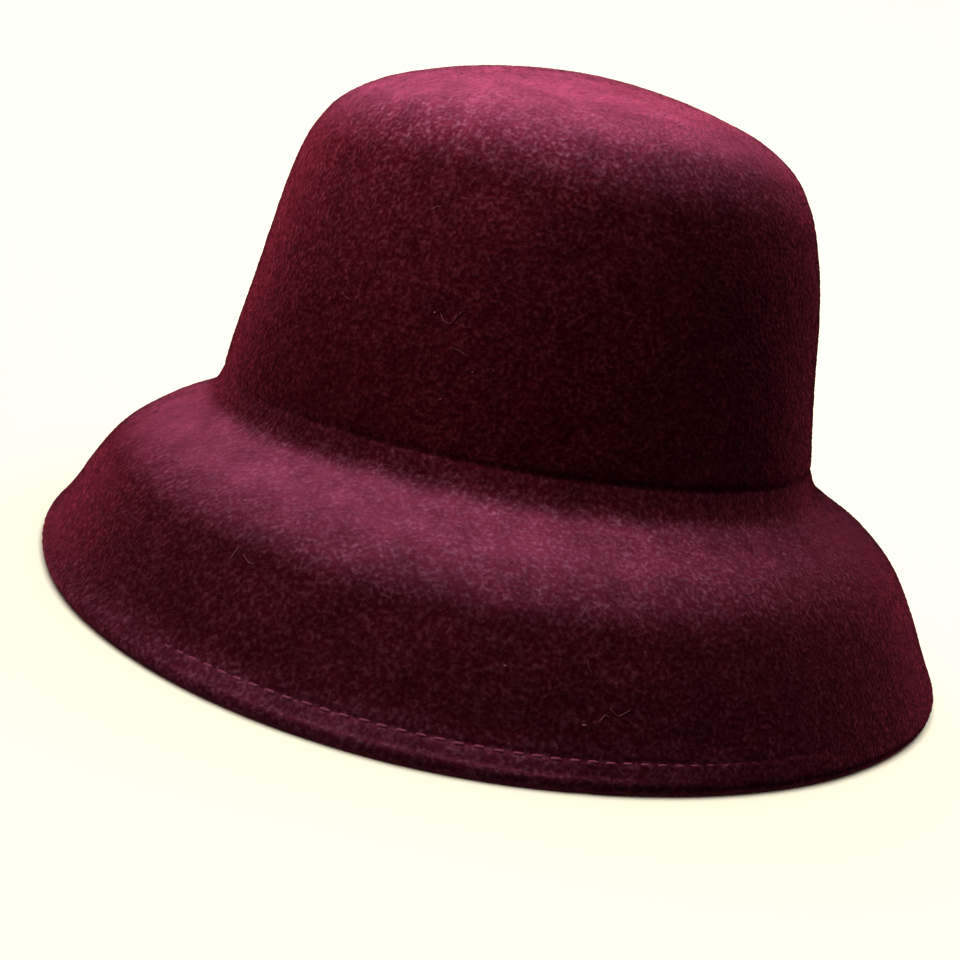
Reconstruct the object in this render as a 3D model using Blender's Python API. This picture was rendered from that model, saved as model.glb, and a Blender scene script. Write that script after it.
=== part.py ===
"""Bell-brimmed hat, blocked from one piece of wool felt, with a turned hem.

Metres, +Z up. The hem rests on z = 0 and the front of the hat faces -Y.
"""

import math

import bmesh
import bpy
from mathutils import Matrix

MM = 0.001

# Driving dimensions
CROWN_WIDTH = 172.0 * MM
CROWN_LENGTH = 193.0 * MM
BRIM_DROP = 54.9 * MM
BRIM_SLANT = math.radians(2.24)
FELT = 2.5 * MM
HEM_THICKNESS = 4.6 * MM
HEM_FLARE = 2.4 * MM
TURN_UNDER = 9.0 * MM
FOOT_WIDTH = 1.6 * MM

# The brim reaches further to the front and back than to the sides, by this factor.
BRIM_STRETCH = 1.04

# Crown, outer face: height over the crease and half the width there, in mm.
CROWN_SECTIONS = (
    # height, half width
    (0.0, 86.0),
    (12.0, 84.0),
    (24.0, 82.0),
    (41.0, 79.2),
    (57.0, 75.7),
    (69.0, 71.6),
    (78.0, 65.6),
    (84.3, 57.0),
    (90.3, 41.6),
    (94.6, 22.0),
    (96.6, 0.0),
)

# Brim, outer face, from the crease to the stitch line: how far it stands out from
# the crown's base, and how far it lies under the crease, in mm.
BRIM_SECTIONS = (
    # outward, down
    (0.0, 0.0),
    (1.2, 3.4),
    (3.4, 6.4),
    (9.7, 10.6),
    (20.3, 16.2),
    (28.6, 23.3),
    (34.1, 31.5),
    (38.3, 39.3),
    (40.9, 44.8),
    (42.2, 48.4),
)

# Hem, outer face, between the stitch line and the round of the fold: how far it
# stands out from the stitch line, and how far it lies under it, in mm.
HEM_SECTIONS = (
    # outward, down
    (1.9, 1.3),
    (3.4, 2.7),
)

# Soft waves in the brim's reach, as it goes round from +X towards +Y.
BRIM_WAVES = (
    # waves in one turn, share of the reach, angle of a crest in degrees
    (1, 0.016, 0.0),
    (3, 0.062, 14.0),
)

# Where the round of the hem's fold starts outside and ends inside, in degrees from level.
HEM_ARC_START = 22
HEM_ARC_END = -200

# Detail of the mesh
SEGMENTS = 72
CROWN_STEPS = 20
BRIM_STEPS = 16
HEM_STEPS = 5
INNER_BRIM_STEPS = 11
INNER_CROWN_STEPS = 14

FELT_COLOUR = (0.116, 0.011, 0.041, 1.0)
FELT_ROUGHNESS = 0.95


def clear_scene():
    """Remove every object, so that the file holds the hat alone."""
    for item in list(bpy.data.objects):
        bpy.data.objects.remove(item, do_unlink=True)


def tangents(points):
    """Direction of the line at each of its points, from its neighbours and how far off they are."""
    found = []
    last = len(points) - 1
    for i, here in enumerate(points):
        before = points[max(i - 1, 0)]
        after = points[min(i + 1, last)]
        back = max(math.dist(before, here), 1e-9)
        ahead = max(math.dist(here, after), 1e-9)
        slope = []
        for axis in range(2):
            if i == 0:
                slope.append((after[axis] - here[axis]) / ahead)
            elif i == last:
                slope.append((here[axis] - before[axis]) / back)
            else:
                first = (here[axis] - before[axis]) / back
                second = (after[axis] - here[axis]) / ahead
                slope.append((first * ahead + second * back) / (back + ahead))
        found.append(slope)
    return found


def smooth_line(points, steps):
    """Even steps along a smooth line through the points."""
    slopes = tangents(points)
    fine = []
    for i in range(len(points) - 1):
        start, end = points[i], points[i + 1]
        span = math.dist(start, end)
        for k in range(24):
            t = k / 24
            keep = 1 - t * t * (3 - 2 * t)
            leave = t * (1 - t) ** 2 * span
            arrive = t * t * (t - 1) * span
            fine.append([
                keep * start[axis] + (1 - keep) * end[axis]
                + leave * slopes[i][axis] + arrive * slopes[i + 1][axis]
                for axis in range(2)
            ])
    fine.append(list(points[-1]))
    lengths = [0.0]
    for start, end in zip(fine, fine[1:]):
        lengths.append(lengths[-1] + math.dist(start, end))
    line = []
    place = 0
    for k in range(steps + 1):
        want = lengths[-1] * k / steps
        while place < len(fine) - 2 and lengths[place + 1] < want:
            place += 1
        share = (want - lengths[place]) / max(lengths[place + 1] - lengths[place], 1e-12)
        line.append([
            fine[place][axis] * (1 - share) + fine[place + 1][axis] * share
            for axis in range(2)
        ])
    return line


def crown_outer(steps):
    """Outer face of the crown as (outward, down), from its top to the crease."""
    half = CROWN_WIDTH / 2
    side = [(width * MM - half, -height * MM) for height, width in CROWN_SECTIONS]
    mirrored = [(-2 * half - out, down) for out, down in reversed(side[:-1])]
    whole = smooth_line(side + mirrored, 2 * steps)
    return whole[steps::-1]


def brim_outer(steps):
    """Outer face of the brim as (outward, down), from the crease to the stitch line."""
    return smooth_line([(out * MM, down * MM) for out, down in BRIM_SECTIONS], steps)


def stepped_in(line, depth):
    """The same line, moved towards the inside of the hat by a depth."""
    moved = []
    last = len(line) - 1
    for i, (out, down) in enumerate(line):
        before = line[max(i - 1, 0)]
        after = line[min(i + 1, last)]
        run = math.dist(before, after)
        along = ((after[0] - before[0]) / run, (after[1] - before[1]) / run)
        moved.append([out - along[1] * depth, down + along[0] * depth])
    return moved


def hem_round(stitch):
    """The fold of the hem as (outward, down): a round edge with a narrow flat foot."""
    radius = HEM_THICKNESS / 2
    flat = math.asin(FOOT_WIDTH / 2 / radius)
    centre = (stitch[0] + HEM_FLARE, BRIM_DROP - radius * math.cos(flat))
    down_side = -math.pi / 2
    arcs = (
        # start, end, steps
        (math.radians(HEM_ARC_START), down_side + flat, HEM_STEPS),
        (down_side - flat, math.radians(HEM_ARC_END), HEM_STEPS),
    )
    line = [[stitch[0] + out * MM, stitch[1] + down * MM] for out, down in HEM_SECTIONS]
    for start, end, steps in arcs:
        for k in range(steps + 1):
            turn = start + (end - start) * k / steps
            out = centre[0] + radius * math.cos(turn)
            line.append([out, centre[1] - radius * math.sin(turn)])
    return line


def profile():
    """The felt's whole section, once round: outer top to hem to inner top."""
    crown = crown_outer(CROWN_STEPS)
    brim = brim_outer(BRIM_STEPS)
    hem = hem_round(brim[-1])
    fine_brim = brim_outer(4 * BRIM_STEPS)
    turned = stepped_in(fine_brim, HEM_THICKNESS)
    single = stepped_in(fine_brim, FELT)
    raw_edge = max(i for i, spot in enumerate(fine_brim) if spot[1] < BRIM_DROP - TURN_UNDER)
    turned_face = [turned[-1], turned[raw_edge], single[raw_edge]]
    inner_brim = [spot for spot in stepped_in(brim_outer(INNER_BRIM_STEPS), FELT)
                  if spot[1] < single[raw_edge][1] - FELT]
    inner_crown = stepped_in(crown_outer(INNER_CROWN_STEPS), FELT)
    inner_crown[0] = [-CROWN_WIDTH / 2, crown[0][1] + FELT]
    return (crown + brim[1:] + hem + turned_face
            + inner_brim[::-1] + inner_crown[-2::-1])


def brim_reach(angle):
    """How far the waves carry the brim out at an angle, as a factor."""
    reach = 1.0
    for waves, share, crest in BRIM_WAVES:
        reach += share * math.cos(waves * (angle - math.radians(crest)))
    return reach


def felt_point(out, down, angle):
    """A point of the felt: outward from the crown's base, down from the crease."""
    half_width = CROWN_WIDTH / 2
    half_length = CROWN_LENGTH / 2
    if out > 0:
        spread = out * brim_reach(angle)
        across = half_width + spread
        along = half_length + spread * BRIM_STRETCH
    else:
        across = half_width + out
        along = half_length * across / half_width
    x = across * math.cos(angle)
    y = along * math.sin(angle)
    slant = max(down, 0.0) / BRIM_DROP * math.tan(BRIM_SLANT) * x
    return x, y, -down - slant


def centre_on_origin(mesh):
    """Move the hat sideways until its box is centred over the origin."""
    shift = []
    for axis in range(2):
        places = [vert.co[axis] for vert in mesh.verts]
        shift.append(-(min(places) + max(places)) / 2)
    bmesh.ops.translate(mesh, vec=(shift[0], shift[1], 0.0), verts=mesh.verts)


def build_felt():
    """The hat as one closed solid of rings, level on its hem."""
    section = profile()
    mesh = bmesh.new()
    rings = []
    for out, down in section[1:-1]:
        ring = []
        for k in range(SEGMENTS):
            angle = math.tau * k / SEGMENTS
            ring.append(mesh.verts.new(felt_point(out, down, angle)))
        rings.append(ring)
    outer_top = mesh.verts.new((0.0, 0.0, -section[0][1]))
    inner_top = mesh.verts.new((0.0, 0.0, -section[-1][1]))
    for k in range(SEGMENTS):
        after = (k + 1) % SEGMENTS
        mesh.faces.new((outer_top, rings[0][k], rings[0][after]))
        for upper, lower in zip(rings, rings[1:]):
            mesh.faces.new((upper[k], lower[k], lower[after], upper[after]))
        mesh.faces.new((inner_top, rings[-1][after], rings[-1][k]))
    level = Matrix.Rotation(-BRIM_SLANT, 4, "Y")
    lift = Matrix.Translation((0.0, 0.0, BRIM_DROP * math.cos(BRIM_SLANT)))
    bmesh.ops.transform(mesh, matrix=lift @ level, verts=mesh.verts)
    centre_on_origin(mesh)
    bmesh.ops.recalc_face_normals(mesh, faces=mesh.faces)
    data = bpy.data.meshes.new("felt_body")
    mesh.to_mesh(data)
    mesh.free()
    return data


def wool_felt():
    """Wine-red wool felt: matt, without metal or gloss."""
    material = bpy.data.materials.new("wool_felt")
    material.use_nodes = True
    shader = material.node_tree.nodes["Principled BSDF"]
    shader.inputs["Base Color"].default_value = FELT_COLOUR
    shader.inputs["Roughness"].default_value = FELT_ROUGHNESS
    shader.inputs["Metallic"].default_value = 0.0
    return material


def main():
    """Clear the scene and build the hat."""
    clear_scene()
    data = build_felt()
    for face in data.polygons:
        face.use_smooth = True
    data.materials.append(wool_felt())
    hat = bpy.data.objects.new("felt_body", data)
    bpy.context.scene.collection.objects.link(hat)


main()
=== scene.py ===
"""A bell-brimmed wool felt hat: its felt, hem stitches, nap and lint, and a small pale studio.

Metres, +Z up. The hem rests on z = 0 and the front of the hat faces -Y. Run it as a script:
it loads the fixed frame, dresses it and leaves the scene ready to render.
"""

import math

import bpy
import numpy as np
from bpy.props import FloatProperty, FloatVectorProperty, IntProperty, PointerProperty
from mathutils import Matrix, Vector


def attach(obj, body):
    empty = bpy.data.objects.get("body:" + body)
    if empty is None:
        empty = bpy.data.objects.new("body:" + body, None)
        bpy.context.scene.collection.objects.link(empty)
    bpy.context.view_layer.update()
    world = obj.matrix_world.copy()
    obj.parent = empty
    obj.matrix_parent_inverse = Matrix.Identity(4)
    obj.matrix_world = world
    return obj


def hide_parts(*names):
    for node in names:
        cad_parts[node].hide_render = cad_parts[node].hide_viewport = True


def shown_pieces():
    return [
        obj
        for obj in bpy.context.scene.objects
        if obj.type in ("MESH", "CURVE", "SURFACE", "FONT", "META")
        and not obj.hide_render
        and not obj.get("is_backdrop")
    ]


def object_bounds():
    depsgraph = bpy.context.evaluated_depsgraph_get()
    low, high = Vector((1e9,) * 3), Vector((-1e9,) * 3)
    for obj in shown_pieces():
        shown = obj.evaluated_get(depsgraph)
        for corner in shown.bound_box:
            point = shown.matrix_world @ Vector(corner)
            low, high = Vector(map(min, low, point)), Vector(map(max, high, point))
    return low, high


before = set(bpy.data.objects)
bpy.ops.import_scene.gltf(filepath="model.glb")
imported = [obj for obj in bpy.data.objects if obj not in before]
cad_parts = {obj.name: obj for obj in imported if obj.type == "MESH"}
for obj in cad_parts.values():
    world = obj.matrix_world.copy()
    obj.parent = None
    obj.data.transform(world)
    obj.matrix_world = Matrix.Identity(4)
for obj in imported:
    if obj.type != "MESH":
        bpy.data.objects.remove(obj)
CAD_LOW, CAD_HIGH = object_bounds()

bl_info = {
    "name": "Bell-brimmed felt hat",
    "version": (1, 0, 0),
    "blender": (4, 5, 0),
    "location": "3D View > Sidebar > Felt Hat",
    "description": "Makes a wool felt hat with a stitched hem, its nap and a small studio",
    "category": "Add Mesh",
}

MM = 0.001
BODY = "root"
CAD_FELT = "felt_body"
SEED = 11

# Sizes of the hat, as the solid has them
CROWN_WIDTH = 172.0 * MM
CROWN_LENGTH = 193.0 * MM
BRIM_DROP = 54.9 * MM
BRIM_SLANT = math.radians(2.24)
FELT = 2.5 * MM
HEM_THICKNESS = 4.6 * MM
HEM_FLARE = 2.4 * MM
TURN_UNDER = 9.0 * MM
FOOT_WIDTH = 1.6 * MM
BRIM_STRETCH = 1.04

# Crown, outer face: height over the crease and half the width there, in mm.
CROWN_SECTIONS = (
    # height, half width
    (0.0, 86.0),
    (12.0, 84.0),
    (24.0, 82.0),
    (41.0, 79.2),
    (57.0, 75.7),
    (69.0, 71.6),
    (78.0, 65.6),
    (84.3, 57.0),
    (90.3, 41.6),
    (94.6, 22.0),
    (96.6, 0.0),
)

# Brim, outer face, from the crease to the stitch line, in mm.
BRIM_SECTIONS = (
    # outward, down
    (0.0, 0.0),
    (1.2, 3.4),
    (3.4, 6.4),
    (9.7, 10.6),
    (20.3, 16.2),
    (28.6, 23.3),
    (34.1, 31.5),
    (38.3, 39.3),
    (40.9, 44.8),
    (42.2, 48.4),
)

# Hem, outer face, between the stitch line and the round of the fold, in mm from the stitch line.
HEM_SECTIONS = (
    # outward, down
    (1.9, 1.3),
    (3.4, 2.7),
)

# The stitch line, as (outward, down)
STITCH_PLACE = np.array(BRIM_SECTIONS[-1]) * MM

# Soft waves in the brim's reach, as it goes round from +X towards +Y.
BRIM_WAVES = (
    # waves in one turn, share of the reach, angle of a crest in degrees
    (1, 0.016, 0.0),
    (3, 0.062, 14.0),
)

# The round of the hem's fold, in angles from level: where it starts outside, meets the flat foot,
# leaves it and ends inside
FOLD_RADIUS = HEM_THICKNESS / 2
FOOT_TURN = math.asin(FOOT_WIDTH / HEM_THICKNESS)
FOLD_START = math.radians(22)
FOOT_START = math.radians(-90) + FOOT_TURN
FOOT_END = math.radians(-90) - FOOT_TURN
FOLD_END = math.radians(-200)

# The hem as it has worn, at angles round the hat. Where it is rolled, its outer edge lies further
# in. Where it is merged, the brim flows into that edge without a corner at the stitch line.
HEM_TUCK = 1.9 * MM
MERGE_START = (38.3 * MM, 39.3 * MM)
MERGE_SLOPE = 0.5
MERGE_END = (46.7 * MM, 51.9 * MM)
HEM_WEAR = (
    # angle in degrees, share rolled, share merged, share of the stitches' relief
    (0, 0.5, 0.9, 0.2),
    (90, 0.2, 0.5, 0.5),
    (180, 0.1, 0.9, 0.3),
    (208, 0.2, 1.0, 0.1),
    (235, 0.1, 1.0, 0.15),
    (243, 0.1, 0.9, 0.7),
    (252, 0.1, 0.85, 1.0),
    (262, 0.15, 0.65, 1.0),
    (275, 0.4, 0.55, 0.9),
    (290, 0.9, 0.6, 0.6),
    (302, 1.0, 0.8, 0.4),
    (320, 1.0, 1.0, 0.1),
    (345, 0.8, 1.0, 0.0),
)
# Columns of that table
ROLLED, MERGED, SEWN = 1, 2, 3

# The one notch in the hem's edge
NOTCH_ANGLE = math.radians(281.8)
NOTCH_DEPTH = 0.5 * MM
NOTCH_HEIGHT = 2.5 * MM
NOTCH_SPREAD = math.radians(0.7)

# Relief of the felt: how far its dents and clumps repeat, how far from the foot they fade out, and
# where the crease is pressed in most
DENT_LENGTH = 62 * MM
CLUMP_LENGTH = 7 * MM
RELIEF_FADE = 6 * MM
PRESSED_ANGLE = math.radians(300)

# The groove that the thread pulls and the swelling under it: how far they lie from the stitch line
# down over the felt, how wide they are, and their least depth and height along the row, as a share
GROOVE_PLACE = -0.2 * MM
GROOVE_WIDTH = 0.5 * MM
GROOVE_LEAST = 0.5
SWELL_PLACE = 1.2 * MM
SWELL_WIDTH = 0.8 * MM
SWELL_LEAST = 0.2

# The thread: how unevenly it is sewn along the row, in radians, and across it, how deep it is
# hidden where the hem is worn, and how far it stands up and is sunk inside the hat
STITCH_STRAY = 0.0012
STITCH_WANDER = 0.06 * MM
STITCH_HIDDEN = 0.8 * MM
STITCH_STAND_INSIDE = 0.42 * MM
STITCH_SINK_INSIDE = 0.25 * MM

# The nap's fibres: the spread of their lengths, how much they wander, and how high their start,
# middle and end lie, as a share of the lift
FIBRE_SPREAD = 0.35
FIBRE_WANDER = 0.25
FIBRE_ARCH = np.array((-0.35, 1.0, -0.1))

# The nap's pieces, from the crown's top down to the foot, how far from the top they start, and
# where the crown's upper and lower pieces start, as shares of the way to the crease
NAP_BANDS = (
    "nap_crown_top", "nap_crown_upper", "nap_crown_lower", "nap_brim_upper", "nap_brim_lower",
    "nap_hem")
NAP_START = 2 * MM
NAP_UPPER = 0.48
NAP_LOWER = 0.74

# Painted light: where light falls, the felt's colour is drawn towards a paler, pinker one.
# How much a place must face up before it starts, the share of it that the brim's right front
# loses as painted shade, its least share on the brim and on the upper left of the crown, where
# that ends and how far it takes to come in, as shares of the way from the top to the crease, the
# share added at the hem, and how much it softens the grain
LIGHT_START_BRIM = 0.5
LIGHT_START_CROWN = 0.25
RIGHT_FRONT_SHADE = 0.55
LIGHT_LEAST_BRIM = 0.08
LIGHT_LEAST_CROWN = 0.06
CROWN_LIGHT_END = 0.9
CROWN_LIGHT_RUN = 0.35
HEM_LIGHT = 0.14
LIGHT_SOFTENS = 0.74
# Where the painted shade at the brim's right front, the painted light on the crown's upper left and
# the painted light at the hem are centred, and how far over the stitch line the last comes in
RIGHT_FRONT_SHADE_ANGLE = math.radians(330)
LEFT_FRONT_ANGLE = math.radians(225)
HEM_LIGHT_ANGLE = math.radians(243)
HEM_LIGHT_WIDTH = 5 * MM

# Hairs that lie on the felt: how thick they are drawn, in mm, and the places that each passes, as
# how far down over the felt from the crown's top they lie, in mm, and their angle in degrees.
LINT_HAIRS = (
    # thickness, (place, place, ...)
    (0.26, ((194.8, 241.4), (193.3, 241.5), (191.6, 241.6))),
    (0.16, ((192.7, 242.5), (194.2, 243.9), (193.6, 244.6))),
    (0.18, ((169.0, 300.8), (170.7, 301.1), (171.7, 301.9))),
    (0.16, ((176.0, 308.0), (176.8, 304.8), (179.1, 305.2), (181.0, 303.9), (180.0, 302.6))),
    (0.18, ((206.7, 283.8), (208.6, 284.8), (206.9, 286.2))),
    (0.18, ((210.1, 282.8), (208.4, 283.4), (208.8, 284.0))),
    (0.13, ((118.3, 254.0), (120.2, 254.9), (120.6, 256.2), (118.3, 257.0), (117.0, 257.9))),
    (0.11, ((125.9, 257.5), (126.2, 258.8), (127.0, 260.0))),
    (0.10, ((95.6, 247.8), (94.6, 248.6), (94.1, 249.8))),
    (0.10, ((119.1, 234.1), (120.0, 235.4), (120.4, 236.4))),
    (0.16, ((191.7, 259.1), (191.7, 259.8), (192.1, 260.2))),
    (0.14, ((179.1, 271.4), (177.4, 271.9), (176.4, 272.4))),
    (0.14, ((184.9, 273.9), (184.0, 274.4), (184.0, 274.9))),
    (0.14, ((188.5, 280.4), (186.8, 280.8), (185.5, 281.2))),
    (0.14, ((197.4, 281.2), (198.9, 281.4), (200.1, 281.8))),
)

# Specks of fluff, placed the same way.
LINT_SPECKS = (
    # down over the felt, angle, width in mm
    (118.7, 253.1, 0.75),
    (130.4, 261.4, 0.50),
    (138.0, 257.1, 0.55),
    (201.0, 273.0, 0.60),
    (210.9, 281.4, 0.85),
    (157.3, 235.3, 0.50),
    (158.4, 242.0, 0.50),
    (174.7, 260.2, 0.45),
)

# Detail of the felt's mesh
STITCHES = 200
AROUND = 300
AROUND_HEM = 6 * STITCHES
AROUND_INSIDE = 150
CROWN_STEPS = 104
BRIM_STEPS = 46
HEM_STEPS = 7
INNER_BRIM_STEPS = 30
INNER_CROWN_STEPS = 36
FOLD_STEPS = 6
TURNED_FINER = 4

# Points across the raw edge of the turned layer, as shares of the way to the single felt
RAW_EDGE = (0.2, 0.65, 1.0)

# Finer rows of the mesh: next to the crease, in mm, and in a band over and under the stitch line
CREASE_ROWS = (-1.5, -1.0, -0.6, -0.3, 0.3, 0.6, 1.0, 1.5)
BAND_OVER = 3.4 * MM
BAND_UNDER = 2.4 * MM
BAND_STEPS = 17

# Detail of the lines and tables that places are measured on
FINE_STEPS = 24
LINE_HEM_STEPS = 80
LINE_FOLD_STEPS = 8
LINE_AROUND = 720
NAP_TABLE = 400

# Sockets of a Mix node that mixes colours: the first, the second and the result
MIX_FIRST = 6
MIX_SECOND = 7
MIX_RESULT = 2

# The camera in the hat's own frame: origin on the crown's axis at the crease, crown upright.
CAMERA_BACK = 418.62 * MM
CAMERA_UP = 65.33 * MM
CAMERA_PITCH = math.radians(-11.52)
CAMERA_ROLL = math.radians(10.1)
IMAGE_SIDE = 960
FOCAL_PIXELS = 1425.45
SENSOR = 36.0
OPTICAL_AXIS_PIXEL = (508.8, 471.6)

# The backdrop paper: how far it is flat, the radius it bends up with and how high it ends
PAPER_FLAT = 0.5
PAPER_BEND = 1.4
PAPER_RISE = 2.1
PAPER_AROUND = 96
PAPER_BEND_STEPS = 16

# Lights: compass angle from +X towards +Y and height in degrees, distance from what they face,
# width in metres for a softbox or in degrees for a spotlight, and the place that they face, in mm.
# The last falls on the paper alone, and the others on the hat alone.
LIGHTS = (
    # name, angle, height, distance, width, place
    ("top_box", 250, 75, 0.50, 0.25, (0, 0, 55)),
    ("left_box", 200, 50, 1.20, 0.60, (0, 0, 55)),
    ("low_box", 235, -50, 0.80, 0.40, (0, 0, 55)),
    ("left_edge_box", 130, 0, 1.20, 0.60, (0, 0, 55)),
    ("right_edge_box", 40, 0, 1.20, 0.60, (0, 0, 55)),
    ("back_edge_box", 60, 30, 1.20, 0.60, (0, 0, 55)),
    ("crown_spot", 230, 50, 0.50, 22, (0, -78, 145)),
    ("shoulder_spot", 180, 20, 0.50, 22, (-10, -60, 155)),
    ("left_brim_spot", 235, 70, 0.50, 26, (-70, -100, 25)),
    ("right_brim_spot", 235, 70, 0.50, 26, (60, -110, 20)),
    ("paper_box", 0, 90, 2.30, 3.20, (0, 450, 0)),
)


def linear(hex_colour):
    """The linear colour of an sRGB hex value such as '7a1f3d'."""
    channels = []
    for i in (0, 2, 4):
        value = int(hex_colour[i:i + 2], 16) / 255
        channels.append(value / 12.92 if value <= 0.04045 else ((value + 0.055) / 1.055) ** 2.4)
    return tuple(channels)


def tangents(points):
    """Direction of the line at each of its points, from its neighbours and how far off they are."""
    steps = np.diff(points, axis=0)
    runs = np.linalg.norm(steps, axis=1)[:, None]
    slopes = steps / runs
    inner = (slopes[:-1] * runs[1:] + slopes[1:] * runs[:-1]) / (runs[:-1] + runs[1:])
    return np.concatenate((slopes[:1], inner, slopes[-1:]))


def smooth_line(points, steps):
    """Even steps along a smooth line through the points."""
    points = np.array(points)
    slopes = tangents(points)
    spans = np.linalg.norm(np.diff(points, axis=0), axis=1)[:, None, None]
    part = (np.arange(FINE_STEPS) / FINE_STEPS)[None, :, None]
    keep = 1 - part * part * (3 - 2 * part)
    leave = part * (1 - part) ** 2 * spans
    arrive = part * part * (part - 1) * spans
    fine = (keep * points[:-1, None] + (1 - keep) * points[1:, None]
            + leave * slopes[:-1, None] + arrive * slopes[1:, None])
    fine = np.concatenate((fine.reshape(-1, 2), points[-1:]))
    lengths = arc_lengths(fine)
    return along(fine, lengths, np.linspace(0, lengths[-1], steps + 1))


def arc_lengths(line):
    """How far along a line each of its points lies."""
    return np.concatenate(([0.0], np.cumsum(np.linalg.norm(np.diff(line, axis=0), axis=1))))


def along(line, lengths, where):
    """Points of a line at some lengths along it."""
    return np.stack([np.interp(where, lengths, line[:, axis]) for axis in range(2)], -1)


def crown_outer(steps):
    """Outer face of the crown as (outward, down), from its top to the crease."""
    half = CROWN_WIDTH / 2
    side = [(width * MM - half, -height * MM) for height, width in CROWN_SECTIONS]
    mirrored = [(-2 * half - out, down) for out, down in reversed(side[:-1])]
    whole = smooth_line(side + mirrored, 2 * steps)
    return whole[steps::-1]


def brim_outer(steps):
    """Outer face of the brim as (outward, down), from the crease to the stitch line."""
    return smooth_line([(out * MM, down * MM) for out, down in BRIM_SECTIONS], steps)


def stepped_in(line, depth):
    """The same line, moved towards the inside of the hat by a depth."""
    ahead = np.concatenate((line[1:], line[-1:]))
    back = np.concatenate((line[:1], line[:-1]))
    way = unit(ahead - back)
    return line + depth * np.stack((-way[:, 1], way[:, 0]), -1)


def fold_arc(start, end, steps):
    """A stretch of the round of the hem's fold, between two angles from level."""
    turn = np.linspace(start, end, steps + 1)
    out = STITCH_PLACE[0] + HEM_FLARE + FOLD_RADIUS * np.cos(turn)
    down = BRIM_DROP - FOLD_RADIUS * math.cos(FOOT_TURN) - FOLD_RADIUS * np.sin(turn)
    return np.stack((out, down), -1)


def hem_face(steps):
    """Outer face of the hem, from the stitch line to the start of its foot."""
    shoulder = STITCH_PLACE + np.array(((0, 0),) + HEM_SECTIONS) * MM
    fold = fold_arc(FOLD_START, FOOT_START, LINE_FOLD_STEPS)
    return smooth_line(np.concatenate((shoulder, fold)), steps)


class Surface:
    """The felt's outer face as a smooth surface, measured by the length from the crown's top."""

    def __init__(self):
        crown = crown_outer(4 * CROWN_STEPS)
        brim = brim_outer(6 * BRIM_STEPS)
        hem = hem_face(LINE_HEM_STEPS)
        self.line = np.concatenate((crown, brim[1:], hem[1:]))
        self.lengths = arc_lengths(self.line)
        self.crease = self.lengths[len(crown) - 1]
        self.stitch_line = self.lengths[len(crown) + len(brim) - 2]
        self.foot = self.lengths[-1]
        self.felt = bpy.context.scene.hat_felt
        self.stitches = bpy.context.scene.hat_stitches
        turns = np.linspace(0, math.tau, LINE_AROUND + 1)[None, :].repeat(len(self.line), 0)
        rim = placed(self.line, turns, worn=0.0).reshape(-1, 3)
        off_middle = (np.array(CAD_LOW) + np.array(CAD_HIGH) - rim.min(0) - rim.max(0)) / 2
        self.shift = off_middle * (1, 1, 0)

    def bare(self, length, angle):
        """Points of the surface before its dents, grooves and puckers."""
        return placed(along(self.line, self.lengths, length), angle, is_outer=True) + self.shift

    def normal(self, length, angle):
        """Which way the surface faces."""
        step = 0.25 * MM
        turn = math.radians(0.2)
        down = self.bare(length + step, angle) - self.bare(length - step, angle)
        round_way = self.bare(length, angle + turn) - self.bare(length, angle - turn)
        return unit(np.cross(down, round_way))

    def relief(self, length, angle, spots):
        """How far the felt stands over the plain surface: dents, the crease's groove and the hem."""
        felt, stitches = self.felt, self.stitches
        high = felt.dents * soft_noise(spots, DENT_LENGTH, 1)
        high += felt.clumps * soft_noise(spots, CLUMP_LENGTH, 2)
        high *= np.clip((self.foot - length) / RELIEF_FADE, 0, 1)
        pressed = 0.5 + 0.5 * np.cos(angle - PRESSED_ANGLE)
        high -= felt.crease_depth * pressed * bell(length - self.crease, felt.crease_width)
        from_line = length - self.stitch_line
        pucker = 0.5 + 0.5 * np.cos(STITCHES * angle)
        share = hem_wear(angle, SEWN)
        groove = stitches.groove_depth * share * (1 - (1 - GROOVE_LEAST) * pucker)
        swelling = stitches.swell * share * (SWELL_LEAST + (1 - SWELL_LEAST) * pucker)
        high -= groove * bell(from_line - GROOVE_PLACE, GROOVE_WIDTH)
        high += swelling * bell(from_line - SWELL_PLACE, SWELL_WIDTH)
        notch = bell(length - self.foot, NOTCH_HEIGHT) * bell(angle - NOTCH_ANGLE, NOTCH_SPREAD)
        return high - NOTCH_DEPTH * notch

    def faded(self, length, angle):
        """How much painted light the felt's colour takes: most where it faces up, and on the brim."""
        on_brim = length > self.crease
        start = np.where(on_brim, LIGHT_START_BRIM, LIGHT_START_CROWN)
        share = np.clip((self.normal(length, angle)[..., 2] - start) / (1 - start), 0, 1)
        share = share * share * (3 - 2 * share)
        # Painted shade: the brim's right front takes less of the painted light
        right_front_shade = np.maximum(np.cos(angle - RIGHT_FRONT_SHADE_ANGLE), 0) ** 2 * on_brim
        share = np.maximum(share * (1 - RIGHT_FRONT_SHADE * right_front_shade), LIGHT_LEAST_BRIM * on_brim)
        # Painted light on the upper left of the crown
        upper = np.clip((CROWN_LIGHT_END - length / self.crease) / CROWN_LIGHT_RUN, 0, 1)
        left = (0.5 + 0.5 * np.cos(angle - LEFT_FRONT_ANGLE)) ** 2
        share = np.maximum(share, LIGHT_LEAST_CROWN * upper * left)
        # Painted light added at the hem, most at the left front
        hem_light = np.maximum(np.cos(angle - HEM_LIGHT_ANGLE), 0) ** 2
        near_hem = np.clip((length - self.stitch_line) / HEM_LIGHT_WIDTH + 1, 0, 1)
        return share + HEM_LIGHT * hem_light * near_hem

    def at(self, length, angle, lift=0.0):
        """Points of the finished surface, or of a place a little above it."""
        spots = self.bare(length, angle)
        high = self.relief(length, angle, spots) + lift
        return spots + self.normal(length, angle) * high[..., None]


def hem_wear(angle, column):
    """One column of the table of wear on the hem, at angles."""
    turns = [row[0] for row in HEM_WEAR]
    return np.interp(np.degrees(angle), turns, [row[column] for row in HEM_WEAR], period=360)


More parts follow.
